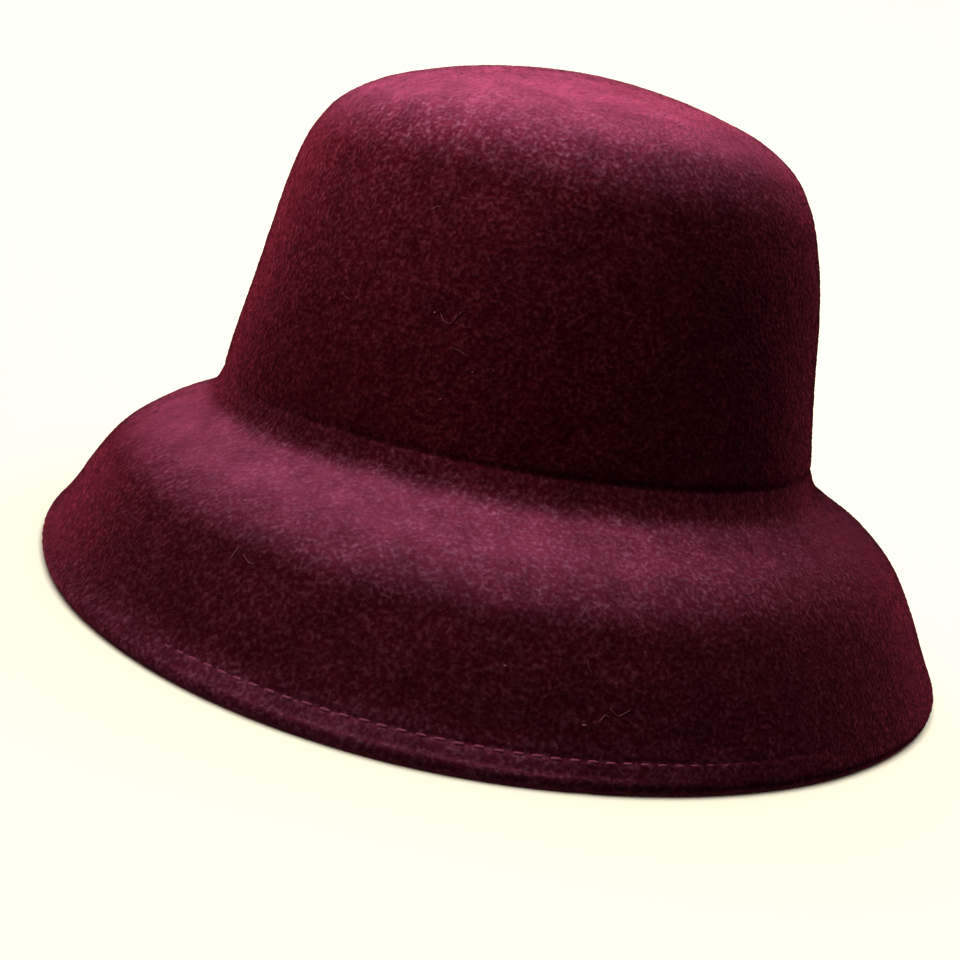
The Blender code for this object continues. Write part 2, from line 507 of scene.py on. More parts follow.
def placed(spots, angle, worn=1.0, is_outer=False):
    """Points of the felt in the hat's place: (outward, down) spots, at angles from +X to +Y."""
    out, down = spots[..., 0], spots[..., 1]
    if angle.ndim > out.ndim:
        out, down = out[:, None], down[:, None]
    rolled = HEM_TUCK * worn * hem_wear(angle, ROLLED)
    out = out - rolled * np.clip((down - STITCH_PLACE[1]) / (MERGE_END[1] - STITCH_PLACE[1]), 0, 1)
    if is_outer:
        run = MERGE_END[1] - MERGE_START[1]
        part = np.clip((down - MERGE_START[1]) / run, 0, 1)
        mean = (MERGE_END[0] - rolled - MERGE_START[0]) / run
        flowing = MERGE_START[0] + run * part * (MERGE_SLOPE + (mean - MERGE_SLOPE) * part)
        merged = worn * hem_wear(angle, MERGED) * ((part > 0) & (part < 1))
        out = out + (flowing - out) * merged
    half_width, half_length = CROWN_WIDTH / 2, CROWN_LENGTH / 2
    reach = np.ones_like(angle)
    for waves, share, crest in BRIM_WAVES:
        reach = reach + share * np.cos(waves * (angle - math.radians(crest)))
    spread = out * reach
    on_brim = out > 0
    across = np.where(on_brim, half_width + spread, half_width + out)
    length = np.where(on_brim, half_length + spread * BRIM_STRETCH, half_length * across / half_width)
    x = across * np.cos(angle)
    y = length * np.sin(angle)
    z = -down - np.maximum(down, 0.0) / BRIM_DROP * math.tan(BRIM_SLANT) * x
    lean, rise = math.sin(BRIM_SLANT), math.cos(BRIM_SLANT)
    return np.stack((x * rise - z * lean, y, x * lean + z * rise + BRIM_DROP * rise), -1)


def unit(ways):
    """Directions with a length of one."""
    return ways / np.maximum(np.linalg.norm(ways, axis=-1), 1e-12)[..., None]


def bell(distance, width):
    """One at no distance, falling smoothly to nothing past a width."""
    return np.exp(-(distance / width) ** 2)


def soft_noise(spots, wavelength, seed):
    """Gentle unevenness of about plus or minus one, from seeded waves through space."""
    dice = np.random.default_rng(SEED + seed)
    total = np.zeros(spots.shape[:-1])
    waves = 14
    for _ in range(waves):
        way = dice.normal(size=3)
        way *= math.tau / wavelength * dice.uniform(0.7, 1.4) / np.linalg.norm(way)
        total += np.sin(spots @ way + dice.uniform(0, math.tau))
    return total / math.sqrt(waves)


def add_mesh(name, spots, faces, material, **marks):
    """A new smooth mesh object from points and triangles, riding on the hat as its felt does.

    Each mark is a value or a vector for every point, which a material can read by its name.
    """
    data = bpy.data.meshes.new(name)
    data.vertices.add(len(spots))
    data.vertices.foreach_set("co", np.asarray(spots, dtype=np.float32).ravel())
    data.loops.add(3 * len(faces))
    data.loops.foreach_set("vertex_index", faces.astype(np.int32).ravel())
    data.polygons.add(len(faces))
    data.polygons.foreach_set("loop_start", 3 * np.arange(len(faces), dtype=np.int32))
    data.polygons.foreach_set("use_smooth", np.full(len(faces), True))
    for mark, values in marks.items():
        kind, field = ("FLOAT", "value") if values.ndim == 1 else ("FLOAT_VECTOR", "vector")
        place = data.attributes.new(mark, kind, "POINT")
        place.data.foreach_set(field, values.astype(np.float32).ravel())
    data.update(calc_edges=True)
    data.validate()
    data.materials.append(material)
    piece = bpy.data.objects.new(name, data)
    bpy.context.scene.collection.objects.link(piece)
    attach(piece, BODY)
    return piece


def set_inputs(node, inputs):
    """Set a node's inputs to values, or link them to other nodes' outputs."""
    for socket, source in inputs.items():
        if isinstance(source, bpy.types.NodeSocket):
            node.id_data.links.new(source, node.inputs[socket])
        else:
            node.inputs[socket].default_value = source


def add_node(nodes, kind, inputs=None, **settings):
    """A node with its settings and its inputs."""
    node = nodes.new(kind)
    for name, value in settings.items():
        setattr(node, name, value)
    set_inputs(node, inputs or {})
    return node


def new_material(name):
    """A node material, its nodes and its shader."""
    material = bpy.data.materials.new(name)
    material.use_nodes = True
    nodes = material.node_tree.nodes
    return material, nodes, nodes["Principled BSDF"]


def wool_colour(nodes, felt):
    """Dyed wool: deep wine, drawn to a paler, pinker colour by painted light where it faces up."""
    faded = add_node(nodes, "ShaderNodeAttribute", attribute_name="faded").outputs["Fac"]
    shade = add_node(nodes, "ShaderNodeMix", {
        0: faded, MIX_FIRST: (*felt.colour, 1), MIX_SECOND: (*felt.painted_light_colour, 1)},
        data_type="RGBA")
    return shade.outputs[MIX_RESULT], faded


def softened(nodes, shade, faded, more=0.0):
    """A shade drawn towards plain by the painted light, and by a further share."""
    softness = add_node(nodes, "ShaderNodeMath", {
        0: faded, 1: LIGHT_SOFTENS, 2: more}, operation="MULTIPLY_ADD", use_clamp=True)
    soft = add_node(nodes, "ShaderNodeMix", {
        0: softness.outputs[0], MIX_FIRST: shade, MIX_SECOND: (1, 1, 1, 1)}, data_type="RGBA")
    return soft.outputs[MIX_RESULT]


def wool_felt(felt):
    """Wool felt, fulled and blocked with steam: matted fibres in clumps, matt, with a soft bloom.

    The eye sees dark red pores between light grains of tangled fibre, softer where the painted
    light lies, and a paler, pinker edge where the nap is looked at sideways.
    """
    material, nodes, shader = new_material("wool_felt")
    place = add_node(nodes, "ShaderNodeTexCoord").outputs["Object"]
    # Worn patches are about 9 mm across and clumps of matted wool about 3 mm. Wool fibres are only
    # 0.03 mm thick, so their grain is drawn far coarser than it is.
    worn, clump, fibre = (
        add_node(nodes, "ShaderNodeTexNoise", {
            "Vector": place, "Scale": 1 / size, "Detail": detail, "Roughness": roughness})
        for size, detail, roughness in ((9 * MM, 2.0, 0.6), (3 * MM, 1.0, 0.5), (1.1 * MM, 1.0, 0.5)))
    # Clumps add a quarter to the height of the fibres
    height = add_node(nodes, "ShaderNodeMath", {
        0: clump.outputs["Fac"], 1: 0.25, 2: fibre.outputs["Fac"]}, operation="MULTIPLY_ADD")
    open_felt = add_node(nodes, "ShaderNodeMapRange", {
        "Value": height.outputs[0], "From Min": 0.45, "From Max": 0.9})
    # The colour, with its painted light where the felt faces up
    colour, faded = wool_colour(nodes, felt)
    # More of the felt is pore than fibre, so the light grains stand out singly
    few = add_node(nodes, "ShaderNodeMath", {
        0: open_felt.outputs["Result"], 1: 1.9}, operation="POWER")
    grain = add_node(nodes, "ShaderNodeMix", {
        0: few.outputs[0], MIX_FIRST: (*felt.pore_shade, 1), MIX_SECOND: (*felt.fibre_shade, 1)},
        data_type="RGBA")
    # The grain is lost where the painted light lies, and where it is looked at sideways
    sideways = add_node(nodes, "ShaderNodeLayerWeight", {"Blend": 0.5}).outputs["Facing"]
    edge = add_node(nodes, "ShaderNodeMapRange", {
        "Value": sideways, "From Min": 0.55, "From Max": 0.95, "To Max": 0.85},
        interpolation_type="SMOOTHSTEP")
    shade = softened(nodes, grain.outputs[MIX_RESULT], faded, edge.outputs["Result"])
    patch = add_node(nodes, "ShaderNodeMapRange", {
        "Value": worn.outputs["Fac"], "From Min": 0.3, "From Max": 0.7, "To Min": 0.79,
        "To Max": 1.21})
    mottled = add_node(nodes, "ShaderNodeVectorMath", {
        0: shade, "Scale": patch.outputs["Result"]}, operation="SCALE")
    tone = add_node(nodes, "ShaderNodeVectorMath", {
        0: colour, 1: mottled.outputs[0]}, operation="MULTIPLY")
    bloom = add_node(nodes, "ShaderNodeMapRange", {
        "Value": open_felt.outputs["Result"], "To Min": 0.5 * felt.sheen, "To Max": 1.5 * felt.sheen})
    relief = add_node(nodes, "ShaderNodeBump", {
        "Height": height.outputs[0], "Strength": 1.0, "Distance": felt.relief})
    set_inputs(shader, {
        "Base Color": tone.outputs[0], "Roughness": 0.95, "Specular IOR Level": 0.0,
        "Sheen Weight": bloom.outputs["Result"], "Sheen Roughness": 0.45,
        "Sheen Tint": (*felt.bloom_colour, 1), "Normal": relief.outputs["Normal"]})
    return material


def wool_nap(felt, nap):
    """Loose wool fibres of the nap: each strand a little lighter or darker than the next.

    A real fibre is too thin to show a dark side, so each is lit as the felt that it lies on.
    """
    material, nodes, shader = new_material("wool_nap")
    strand = add_node(nodes, "ShaderNodeNewGeometry").outputs["Random Per Island"]
    # Few strands are much lighter than the felt
    few = add_node(nodes, "ShaderNodeMath", {0: strand, 1: 2.0}, operation="POWER")
    shade = add_node(nodes, "ShaderNodeMix", {
        0: few.outputs[0], MIX_FIRST: (*nap.dark_shade, 1), MIX_SECOND: (*nap.light_shade, 1)},
        data_type="RGBA")
    # The strands take the felt's painted light, which also softens their shades
    colour, faded = wool_colour(nodes, felt)
    tone = add_node(nodes, "ShaderNodeVectorMath", {
        0: colour, 1: softened(nodes, shade.outputs[MIX_RESULT], faded)}, operation="MULTIPLY")
    facing = add_node(nodes, "ShaderNodeAttribute", attribute_name="facing").outputs["Vector"]
    set_inputs(shader, {
        "Base Color": tone.outputs[0], "Roughness": 0.9, "Specular IOR Level": 0.0,
        "Sheen Weight": felt.sheen, "Sheen Roughness": 0.45, "Sheen Tint": (*felt.bloom_colour, 1),
        "Normal": facing})
    return material


def wool_fluff(colour):
    """Pale wool fluff that has settled on the felt: matt and dusty pink."""
    material, _, shader = new_material("wool_fluff")
    set_inputs(shader, {
        "Base Color": (*colour, 1), "Roughness": 0.8, "Specular IOR Level": 0.2,
        "Sheen Weight": 0.2, "Sheen Tint": (*colour, 1)})
    return material


def sewing_thread(colour):
    """Polyester sewing thread, spun: two twisted plies with a slight gloss."""
    material, nodes, shader = new_material("sewing_thread")
    place = add_node(nodes, "ShaderNodeTexCoord").outputs["Object"]
    # The twist of the plies repeats every 0.5 mm
    ply = add_node(nodes, "ShaderNodeTexNoise", {
        "Vector": place, "Scale": 1 / (0.5 * MM), "Detail": 1.0})
    tone = add_node(nodes, "ShaderNodeMapRange", {
        "Value": ply.outputs["Fac"], "To Min": 0.6, "To Max": 1.3})
    tinted = add_node(nodes, "ShaderNodeVectorMath", {
        0: tuple(colour), "Scale": tone.outputs["Result"]}, operation="SCALE")
    bump = add_node(nodes, "ShaderNodeBump", {
        "Height": ply.outputs["Fac"], "Strength": 0.5, "Distance": 0.1 * MM})
    set_inputs(shader, {
        "Base Color": tinted.outputs[0], "Roughness": 0.6, "Specular IOR Level": 0.35,
        "Sheen Weight": 0.4, "Sheen Tint": (*colour, 1), "Normal": bump.outputs["Normal"]})
    return material


def seamless_paper(colour):
    """Uncoated backdrop paper: flat, matt and pale, with a trace of tooth."""
    material, nodes, shader = new_material("seamless_paper")
    place = add_node(nodes, "ShaderNodeTexCoord").outputs["Object"]
    tooth = add_node(nodes, "ShaderNodeTexNoise", {
        "Vector": place, "Scale": 1 / (4 * MM), "Detail": 3.0})
    bump = add_node(nodes, "ShaderNodeBump", {
        "Height": tooth.outputs["Fac"], "Strength": 0.1, "Distance": 0.1 * MM})
    set_inputs(shader, {
        "Base Color": (*colour, 1), "Roughness": 0.9, "Specular IOR Level": 0.2,
        "Normal": bump.outputs["Normal"]})
    return material


def ring_faces(first, first_count, second, second_count):
    """Triangles between two rings of points, one of which may be a whole number of times finer."""
    first_is_coarse = first_count <= second_count
    wide, narrow = (first, second) if first_is_coarse else (second, first)
    coarse, fine = sorted((first_count, second_count))
    ratio = fine // coarse
    middle = ratio // 2
    faces = []
    for k in range(coarse):
        here, after = wide + k, wide + (k + 1) % coarse
        spots = [narrow + (k * ratio + j) % fine for j in range(ratio + 1)]
        faces += [(here, spots[j], spots[j + 1]) for j in range(middle)]
        faces.append((here, spots[middle], after))
        faces += [(after, spots[j], spots[j + 1]) for j in range(middle, ratio)]
    return faces if first_is_coarse else [face[::-1] for face in faces]


def inner_sections():
    """The section after the foot: fold, turned layer, raw edge, inner brim, inner crown, top."""
    fold = fold_arc(FOOT_END, FOLD_END, FOLD_STEPS)
    fine_brim = brim_outer(TURNED_FINER * BRIM_STEPS)
    turned = stepped_in(fine_brim, HEM_THICKNESS)
    single = stepped_in(fine_brim, FELT)
    raw = int(np.max(np.nonzero(fine_brim[:, 1] < BRIM_DROP - TURN_UNDER)[0]))
    face = turned[:raw + 1:-TURNED_FINER]
    edge = [turned[raw] * (1 - share) + single[raw] * share for share in RAW_EDGE]
    inner_brim = stepped_in(brim_outer(INNER_BRIM_STEPS), FELT)
    inner_brim = inner_brim[inner_brim[:, 1] < single[raw][1] - FELT][::-1]
    inner_crown = stepped_in(crown_outer(INNER_CROWN_STEPS), FELT)
    top = [(-CROWN_WIDTH / 2, FELT - CROWN_SECTIONS[-1][0] * MM)]
    return np.concatenate((fold, face, edge, inner_brim, inner_crown[-2:0:-1], top))


def ring_angles(count):
    """Even angles once round."""
    return np.arange(count) * math.tau / count


def make_felt_mesh(surface, material):
    """The whole felt as one closed skin, finer at the hem, where the stitches pucker it."""
    crown = np.linspace(0, surface.crease, CROWN_STEPS + 1)[1:]
    near_crease = surface.crease + np.array(CREASE_ROWS) * MM
    brim_start = surface.stitch_line - BAND_OVER
    band_end = surface.stitch_line + BAND_UNDER
    brim = np.linspace(surface.crease, brim_start, BRIM_STEPS + 1)[1:]
    rows = [(length, AROUND) for length in sorted(np.concatenate((crown, near_crease, brim)))]
    band = np.linspace(brim_start, band_end, BAND_STEPS + 1)[1:]
    rest = np.linspace(band_end, surface.foot, HEM_STEPS)[1:]
    rows += [(length, AROUND_HEM) for length in np.concatenate((band, rest))]
    spots = [surface.at(np.zeros(1), np.zeros(1))]
    # Painted light of every point: all of it at the top point, none on the inside
    faded = [np.ones(1)]
    rings = []
    used = 1
    for length, count in rows:
        where = (np.full(count, length), ring_angles(count))
        spots.append(surface.at(*where))
        faded.append(surface.faded(*where))
        rings.append((used, count))
        used += count
    sections = inner_sections()
    angle = ring_angles(AROUND_INSIDE)
    inside = placed(sections[:-1], angle[None, :].repeat(len(sections) - 1, 0)) + surface.shift
    # The inside takes part in the dents, but not at the hem
    dents = surface.felt.dents * soft_noise(inside, DENT_LENGTH, 1)
    dents *= np.clip((inside[..., 2] - 4 * MM) / (8 * MM), 0, 1)
    inside[..., :2] += dents[..., None] * np.stack((np.cos(angle), np.sin(angle)), -1)
    for ring in inside:
        spots.append(ring)
        rings.append((used, AROUND_INSIDE))
        used += AROUND_INSIDE
    spots.append(placed(sections[-1:], np.zeros(1)) + surface.shift)
    faces = [(0, 1 + k, 1 + (k + 1) % AROUND) for k in range(AROUND)]
    for ring, following in zip(rings, rings[1:]):
        faces += ring_faces(*ring, *following)
    last, count = rings[-1]
    faces += [(used, last + (k + 1) % count, last + k) for k in range(count)]
    spots = np.concatenate(spots)
    faded = np.concatenate(faded)
    faded = np.pad(faded, (0, len(spots) - len(faded)))
    return add_mesh("felt_hood", spots, np.array(faces), material, faded=faded)


def strand_mesh(name, paths, radii, sides, material, **marks):
    """Closed strands along paths (strand, point, xyz), pointed at both ends, as one joined mesh."""
    strands, points, _ = paths.shape
    way = unit(np.gradient(paths, axis=1))
    # Across is worked out from +Z, or from +X where the strand stands up
    helper = np.where(np.abs(way[..., 2:3]) < 0.8, (0.0, 0.0, 1.0), (1.0, 0.0, 0.0))
    across = unit(np.cross(way, helper))
    over = np.cross(way, across)
    turn = ring_angles(sides)
    ring = across[:, 1:-1, None] * np.cos(turn)[:, None] + over[:, 1:-1, None] * np.sin(turn)[:, None]
    ring = paths[:, 1:-1, None] + ring * radii[:, 1:-1, None, None]
    inner = points - 2
    block = inner * sides + 2
    spots = np.concatenate((paths[:, :1], ring.reshape(strands, -1, 3), paths[:, -1:]), axis=1)
    faces = []
    last = 1 + (inner - 1) * sides
    for k in range(sides):
        after = (k + 1) % sides
        faces += [(0, 1 + after, 1 + k), (block - 1, last + k, last + after)]
        for here in range(1, last, sides):
            below = here + sides
            faces += [(here + k, here + after, below + after), (here + k, below + after, below + k)]
    faces = np.array(faces)[None] + (np.arange(strands) * block)[:, None, None]
    marks = {mark: np.repeat(values, block, axis=0) for mark, values in marks.items()}
    return add_mesh(name, spots.reshape(-1, 3), faces.reshape(-1, 3), material, **marks)


def walk(surface, length, angle, steps, pace, heading, curl, dice):
    """Paths that wander over the felt: from a start, with a heading that curls as they go."""
    lengths, angles = [length], [angle]
    turn = math.radians(0.5)
    for _ in range(steps):
        reach = surface.bare(length, angle + turn) - surface.bare(length, angle - turn)
        per_turn = np.linalg.norm(reach, axis=-1) / (2 * turn)
        length = length + pace * np.cos(heading)
        angle = angle + pace * np.sin(heading) / np.maximum(per_turn, 2 * MM)
        heading = heading + curl + dice.normal(0, FIBRE_WANDER, len(heading))
        lengths.append(length)
        angles.append(angle)
    return np.stack(lengths, 1), np.stack(angles, 1)


def make_nap(surface, name, edges, nap, material, seed):
    """Short bent fibres, scattered evenly over a band of the felt."""
    dice = np.random.default_rng(SEED + seed)
    table = np.linspace(*edges, NAP_TABLE)
    spots = along(surface.line, surface.lengths, table)
    girth = np.maximum(CROWN_WIDTH / 2 + spots[:, 0], 0.0)
    share = np.concatenate(([0.0], np.cumsum((girth[1:] + girth[:-1]) / 2)))
    area = math.tau * share[-1] * (table[1] - table[0])
    count = int(nap.per_square_cm * area / (10 * MM) ** 2)
    length = np.interp(dice.uniform(0, share[-1], count), share, table)
    angle = dice.uniform(0, math.tau, count)
    steps = 2
    size = nap.fibre_length * dice.lognormal(0.0, FIBRE_SPREAD, count)
    heading = dice.uniform(0, math.tau, count)
    curl = dice.normal(0, 1.0, count)
    lengths, angles = walk(surface, length, angle, steps, size / steps, heading, curl, dice)
    lengths = np.clip(lengths, 1.0 * MM, surface.foot - 0.3 * MM)
    # A fibre's ends are sunk in the felt and its middle stands up
    lift = nap.lift * dice.uniform(0.3, 1.0, count)[:, None] * FIBRE_ARCH
    paths = surface.at(lengths, angles, lift)
    paths[..., 2] = np.maximum(paths[..., 2], nap.fibre_thickness)
    # Where the felt's colour takes its painted light, the fibres are drawn thinner, down to about
    # half
    faded = surface.faded(length, angle)
    thickness = nap.fibre_thickness * (1 - 0.5 * faded) * dice.uniform(0.6, 1.3, count)
    radii = np.repeat(thickness[:, None] / 2, steps + 1, axis=1)
    strands = strand_mesh(
        name, paths, radii, 3, material, faded=faded, facing=surface.normal(length, angle))
    # Fibres are drawn about seven times as thick as they are, so their shadows would be too dark
    strands.visible_shadow = False


def make_lint(surface, nap):
    """The few long hairs and specks of fluff that lie on the felt, in two pieces."""
    material = wool_fluff(nap.lint_colour)
    share = np.linspace(0, 1, 13)
    lift = nap.lift * (1 + 0.5 * np.sin(math.pi * share))
    paths, radii = [], []
    for thickness, places in LINT_HAIRS:
        spots = np.array(places) * (MM, math.radians(1.0))
        hair = along(spots, np.linspace(0, 1, len(spots)), share)
        hair[1:-1] = (hair[:-2] + 2 * hair[1:-1] + hair[2:]) / 4
        paths.append(surface.at(hair[:, 0], hair[:, 1], lift))
        radii.append(np.full(len(share), thickness / 2 * MM))
    strand_mesh("lint_hairs", np.array(paths), np.array(radii), 5, material)
    across = np.linspace(-1, 1, 7)
    paths, radii = [], []
    for down, angle, width in LINT_SPECKS:
        middle = np.full(len(across), down * MM)
        turn = math.radians(angle) + across * width * MM / CROWN_WIDTH
        paths.append(surface.at(middle, turn, nap.lift))
        radii.append(0.35 * width * MM * np.sqrt(np.maximum(1 - across ** 2, 0.02)))
    strand_mesh("lint_specks", np.array(paths), np.array(radii), 6, material)


def make_stitch_row(surface, name, material, inside):
    """One face of the row of lockstitch: short threads, sunk where they go through the felt."""
    stitches = surface.stitches
    dice = np.random.default_rng(SEED + 40 + inside)
    points = 9
    part = np.linspace(-0.5, 0.5, points)
    middle = ring_angles(STITCHES) + dice.normal(0, STITCH_STRAY, STITCHES)
    turn = math.tau / STITCHES
    angle = middle[:, None] + part[None, :] * turn * stitches.covered
    sag = 1 - (2 * np.abs(part)) ** 3
    if inside:
        spot = stepped_in(brim_outer(BRIM_STEPS), HEM_THICKNESS)[-3]
        base = placed(np.broadcast_to(spot, angle.shape + (2,)), angle) + surface.shift
        inward = unit((surface.shift - base) * (1, 1, 0))
        paths = base + inward * (sag * STITCH_STAND_INSIDE - STITCH_SINK_INSIDE)[None, :, None]
    else:
        offset = stitches.offset + dice.normal(0, STITCH_WANDER, (STITCHES, 1))
        lengths = surface.stitch_line + np.broadcast_to(offset, angle.shape)
        # Where the relief is worn away, the thread lies under the fibres
        hidden = STITCH_HIDDEN * (1 - hem_wear(angle, SEWN))
        lift = (sag * stitches.stand - stitches.sink)[None, :] - hidden
        paths = surface.at(lengths, angle, lift)
    radii = np.full(angle.shape, stitches.thread / 2)
    radii *= np.array([0.5] + [1.0] * (points - 2) + [0.5])
    return strand_mesh(name, paths, radii, 6, material)


def colour_setting(name, description, default, high=1):
    """A colour, or a shade, which may be lighter than white."""
    return FloatVectorProperty(
        name=name, description=description, subtype="COLOR", size=3, default=default, min=0, max=high)


def length_setting(name, description, default, low, high):
    """A length, given in mm."""
    return FloatProperty(
        name=name, description=description, default=default * MM, min=low * MM, max=high * MM,
        unit="LENGTH")


def power_setting(light, default):
    """The power of a light, in watts."""
    return FloatProperty(
        name=light.capitalize(), description=f"Power of the {light}", default=default, min=0,
        unit="POWER")


class FeltSettings(bpy.types.PropertyGroup):
    """Sizes and colours of the felt's surface."""

    colour: colour_setting("Felt", "Colour of the wool", linear("5a171f"))
    # Painted light: the paler, pinker colour that the felt is drawn towards where it faces up
    painted_light_colour: colour_setting("Lit", "Colour of the wool where it faces up", linear("ae5a78"))
    bloom_colour: colour_setting("Bloom", "Colour of the nap looked at sideways", linear("ff6a8a"))
    sheen: FloatProperty(
        name="Sheen", description="How much light the nap catches", default=0.47, min=0, max=1)
    pore_shade: colour_setting(
        "Pores", "Shade of the pores, times the wool's own colour", (0.61, 0.28, 0.38), 6)
    fibre_shade: colour_setting(
        "Fibres", "Shade of the fibres, times the wool's own colour", (1.55, 3.2, 2.65), 6)
    dents: length_setting("Dents", "Depth of the soft dents of wear", 0.35, 0, 2)
    clumps: length_setting("Clumps", "Height of the matted clumps", 0.05, 0, 0.5)
    relief: length_setting("Relief", "Depth of the relief of clumps and fibres", 0.3, 0, 2)
    crease_depth: length_setting(
        "Crease depth", "Depth of the groove at the foot of the crown", 0.5, 0, 2)
    crease_width: length_setting("Crease width", "Half the width of that groove", 1.1, 0.2, 4)


class StitchSettings(bpy.types.PropertyGroup):
    """Sizes and colour of the hem's stitches."""

    colour: colour_setting("Thread", "Colour of the thread", linear("ac5872"))
    thread: length_setting("Thread", "Thickness of the thread", 0.8, 0.1, 1)
    covered: FloatProperty(
        name="Cover", description="Share of the stitch's pitch that the thread shows",
        default=0.62, min=0.2, max=0.95)
    offset: length_setting("Offset", "How far under the groove's middle the thread lies", 0.3, -2, 2)
    stand: length_setting("Stand", "How far the thread's middle rises over its ends", 0.3, -2, 2)
    sink: length_setting("Sink", "How far the thread's ends are pulled into the felt", 0.2, -2, 2)
    groove_depth: length_setting("Groove", "Depth of the groove that the thread pulls", 0.3, 0, 2)
    swell: length_setting("Swell", "How far the hem swells between the stitches", 0.22, 0, 2)


class NapSettings(bpy.types.PropertyGroup):
    """Sizes, numbers and colours of the loose fibres."""

    dark_shade: colour_setting(
        "Dark", "Shade of the darkest fibre, times the wool's own colour",
        (0.85, 0.75, 0.75), 6)
    light_shade: colour_setting(
        "Light", "Shade of the lightest fibre, times the wool's own colour",
        (1.8, 4.0, 3.2), 6)
    lint_colour: colour_setting("Lint", "Colour of the few pale hairs and specks", linear("b06e7a"))
    fibre_length: length_setting("Fibre length", "Usual length of a fibre", 1.5, 0.5, 12)
    fibre_thickness: length_setting(
        "Fibre thickness", "Thickness that a fibre is drawn with", 0.2, 0.03, 0.5)
    lift: length_setting("Lift", "How far a fibre's middle stands off the felt", 0.1, 0, 2)
    per_square_cm: IntProperty(
        name="Fibres", description="Loose fibres on one square centimetre", default=96,
        min=0, max=120)


class StudioSettings(bpy.types.PropertyGroup):
    """Colours and strengths of the studio."""

    paper: colour_setting("Paper", "Colour of the backdrop paper", linear("f7f1dc"))
    top_box: power_setting("softbox over the hat", 0.69)
    left_box: power_setting("softbox high on the left", 6.1)
    low_box: power_setting("softbox under the hem", 1.7)
    left_edge_box: power_setting("softbox behind and left of the hat", 12.0)
    right_edge_box: power_setting("softbox behind and right of the hat", 3.1)
    back_edge_box: power_setting("softbox high behind the hat", 3.6)
    crown_spot: power_setting("spotlight on the crown's front", 2.5)
    shoulder_spot: power_setting("spotlight on the crown's left shoulder", 9.4)
    left_brim_spot: power_setting("spotlight on the brim's left front", 1.25)
    right_brim_spot: power_setting("spotlight on the brim's right front", 1.62)
    paper_box: power_setting("softbox over the paper", 116.0)
    sky: FloatProperty(
        name="Ambient", description="Strength of the even light from all round", default=0.01,
        min=0)


class HAT_OT_felt(bpy.types.Operator):
    """Make the felt: crown, crease, brim and turned hem in one closed skin"""

    bl_idname = "felt_hat.felt"
    bl_label = "Make the felt"

    def execute(self, context):
        hood = make_felt_mesh(Surface(), wool_felt(context.scene.hat_felt))
        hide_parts(CAD_FELT)
        return {"FINISHED"}


class HAT_OT_stitches(bpy.types.Operator):
    """Make the two faces of the hem's one row of lockstitch"""

    bl_idname = "felt_hat.stitches"
    bl_label = "Sew the hem"

    def execute(self, context):
        surface = Surface()
        thread = sewing_thread(surface.stitches.colour)
        make_stitch_row(surface, "hem_stitches", thread, False)
        make_stitch_row(surface, "hem_stitches_inside", thread, True)
        return {"FINISHED"}


class HAT_OT_nap(bpy.types.Operator):
    """Scatter the loose fibres of the nap over the crown, the brim and the hem"""

    bl_idname = "felt_hat.nap"
    bl_label = "Raise the nap"

    def execute(self, context):
        nap = context.scene.hat_nap
        material = wool_nap(context.scene.hat_felt, nap)
        surface = Surface()
        bend = (surface.crease + surface.stitch_line) / 2
        edges = (
            NAP_START, surface.crease * NAP_UPPER, surface.crease * NAP_LOWER, surface.crease, bend,
            surface.stitch_line, surface.foot)
        for number, name in enumerate(NAP_BANDS):
            make_nap(surface, name, edges[number:number + 2], nap, material, 60 + number)
        return {"FINISHED"}


class HAT_OT_lint(bpy.types.Operator):
    """Lay the few long hairs and specks of fluff on the felt"""

    bl_idname = "felt_hat.lint"
    bl_label = "Drop the lint"

    def execute(self, context):
        make_lint(Surface(), context.scene.hat_nap)
        return {"FINISHED"}


class HAT_OT_studio(bpy.types.Operator):
    """Make the pale paper sweep, the soft lights and the camera"""

    bl_idname = "felt_hat.studio"
    bl_label = "Build the studio"

    def execute(self, context):
        studio = context.scene.hat_studio
        paper = paper_sweep(seamless_paper(studio.paper))
        paper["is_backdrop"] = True
        # The paper throws no light back, so the front of the crown stays dark
        paper.visible_diffuse = False
        paper.visible_glossy = False
        # Lights under and behind the paper shine through it. The low softbox lights the hem from
        # below, as pale paper would.
        paper.visible_shadow = False
        lamps = [hang_light(getattr(studio, row[0]), *row) for row in LIGHTS]
        shine_only_on("hat_pieces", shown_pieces(), lamps[:-1])
        shine_only_on("paper_pieces", (paper,), lamps[-1:])
        ambient_light(context.scene, studio.sky)
        add_camera(context.scene)
        context.scene.view_settings.view_transform = "Standard"
        context.scene.view_settings.gamma = 0.8
        return {"FINISHED"}


def paper_sweep(material):
    """A round sheet, flat under the hat, that curves up into a backdrop on every side."""
    line = [(PAPER_FLAT, 0.0)]
    for turn in np.linspace(0, math.pi / 2, PAPER_BEND_STEPS + 1)[1:]:
        line.append((PAPER_FLAT + PAPER_BEND * math.sin(turn), PAPER_BEND * (1 - math.cos(turn))))
    line.append((PAPER_FLAT + PAPER_BEND, PAPER_RISE))
    spots = [(out * math.cos(angle), out * math.sin(angle), rise)
             for out, rise in line for angle in ring_angles(PAPER_AROUND)]
    faces = [tuple(range(PAPER_AROUND))]
    for ring in range(0, len(spots) - PAPER_AROUND, PAPER_AROUND):
        for k in range(PAPER_AROUND):
            here, after = ring + k, ring + (k + 1) % PAPER_AROUND
            faces.append((here + PAPER_AROUND, after + PAPER_AROUND, after, here))
    data = bpy.data.meshes.new("paper_sweep")
    data.from_pydata(spots, [], faces, shade_flat=False)
    data.materials.append(material)
    paper = bpy.data.objects.new("paper_sweep", data)
    bpy.context.scene.collection.objects.link(paper)
    return paper


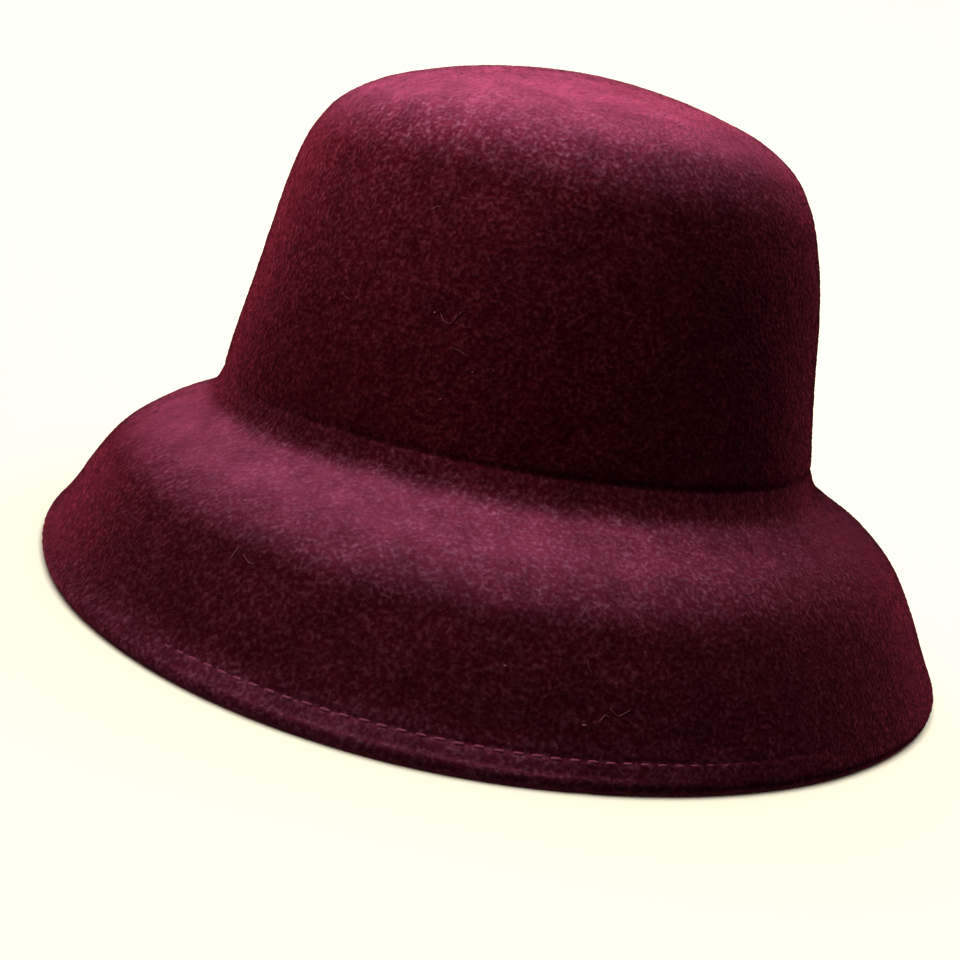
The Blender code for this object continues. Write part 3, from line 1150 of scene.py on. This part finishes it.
def hang_light(power, name, angle, height, distance, width, place):
    """A softbox, or a spotlight that fades softly towards its rim, facing a place."""
    light = bpy.data.lights.new(name, "SPOT" if name.endswith("spot") else "AREA")
    light.energy = power
    if light.type == "SPOT":
        light.spot_size = math.radians(width)
        light.spot_blend = 1.0
        light.shadow_soft_size = 50 * MM
    else:
        light.size = width
    turn, rise = math.radians(angle), math.radians(height)
    away = Vector((math.cos(rise) * math.cos(turn), math.cos(rise) * math.sin(turn), math.sin(rise)))
    lamp = bpy.data.objects.new(name, light)
    lamp.location = Vector(place) * MM + away * distance
    lamp.rotation_euler = (-away).to_track_quat("-Z", "Y").to_euler()
    bpy.context.scene.collection.objects.link(lamp)
    return lamp


def shine_only_on(name, things, lamps):
    """Let lamps light some things alone, as a photographer flags a light off the backdrop."""
    group = bpy.data.collections.new(name)
    for thing in things:
        group.objects.link(thing)
    for lamp in lamps:
        lamp.light_linking.receiver_collection = group


def ambient_light(scene, strength):
    """Even, slightly warm light from all round."""
    world = bpy.data.worlds.new("studio_air")
    world.use_nodes = True
    ground = world.node_tree.nodes["Background"]
    ground.inputs["Color"].default_value = (*linear("fff8ee"), 1)
    ground.inputs["Strength"].default_value = strength
    scene.world = world


def add_camera(scene):
    """The camera at the photo's angle to the hat, rolled as the photo shows it leaning."""
    data = bpy.data.cameras.new("photo_camera")
    data.sensor_width = SENSOR
    data.lens = FOCAL_PIXELS / IMAGE_SIDE * SENSOR
    data.shift_x = (IMAGE_SIDE / 2 - OPTICAL_AXIS_PIXEL[0]) / IMAGE_SIDE
    data.shift_y = (OPTICAL_AXIS_PIXEL[1] - IMAGE_SIDE / 2) / IMAGE_SIDE
    data.clip_start = 0.01
    data.clip_end = 50.0
    camera = bpy.data.objects.new("photo_camera", data)
    shift = Surface().shift
    camera.matrix_world = (
        Matrix.Translation((shift[0], shift[1], BRIM_DROP * math.cos(BRIM_SLANT)))
        @ Matrix.Rotation(-BRIM_SLANT, 4, "Y")
        @ Matrix.Translation((0.0, -CAMERA_BACK, CAMERA_UP))
        @ Matrix.Rotation(math.pi / 2 + CAMERA_PITCH, 4, "X")
        @ Matrix.Rotation(CAMERA_ROLL, 4, "Z")
    )
    scene.collection.objects.link(camera)
    scene.camera = camera


class HAT_PT_panel(bpy.types.Panel):
    """Buttons and settings of the felt hat"""

    bl_idname = "HAT_PT_panel"
    bl_label = "Felt Hat"
    bl_space_type = "VIEW_3D"
    bl_region_type = "UI"
    bl_category = "Felt Hat"

    def draw(self, context):
        for name, kind, operators in SETTINGS:
            box = self.layout.box()
            for setting in kind.__annotations__:
                box.prop(getattr(context.scene, name), setting)
            for operator in operators:
                box.operator(operator)


SETTINGS = (
    # name in the scene, settings, operators that use them
    ("hat_felt", FeltSettings, ("felt_hat.felt",)),
    ("hat_stitches", StitchSettings, ("felt_hat.stitches",)),
    ("hat_nap", NapSettings, ("felt_hat.nap", "felt_hat.lint")),
    ("hat_studio", StudioSettings, ("felt_hat.studio",)),
)
CLASSES = tuple(kind for _, kind, _ in SETTINGS) + (
    HAT_OT_felt,
    HAT_OT_stitches,
    HAT_OT_nap,
    HAT_OT_lint,
    HAT_OT_studio,
    HAT_PT_panel,
)


def register():
    """Make the operators, settings and panel known to Blender."""
    for kind in CLASSES:
        bpy.utils.register_class(kind)
    for name, kind, _ in SETTINGS:
        setattr(bpy.types.Scene, name, PointerProperty(type=kind))


def unregister():
    """Take them away again."""
    for name, _, _ in SETTINGS:
        delattr(bpy.types.Scene, name)
    for kind in reversed(CLASSES):
        bpy.utils.unregister_class(kind)


def main():
    """Make the hat and its studio."""
    register()
    bpy.ops.felt_hat.felt()
    bpy.ops.felt_hat.stitches()
    bpy.ops.felt_hat.nap()
    bpy.ops.felt_hat.lint()
    bpy.ops.felt_hat.studio()


if __name__ == "__main__":
    main()
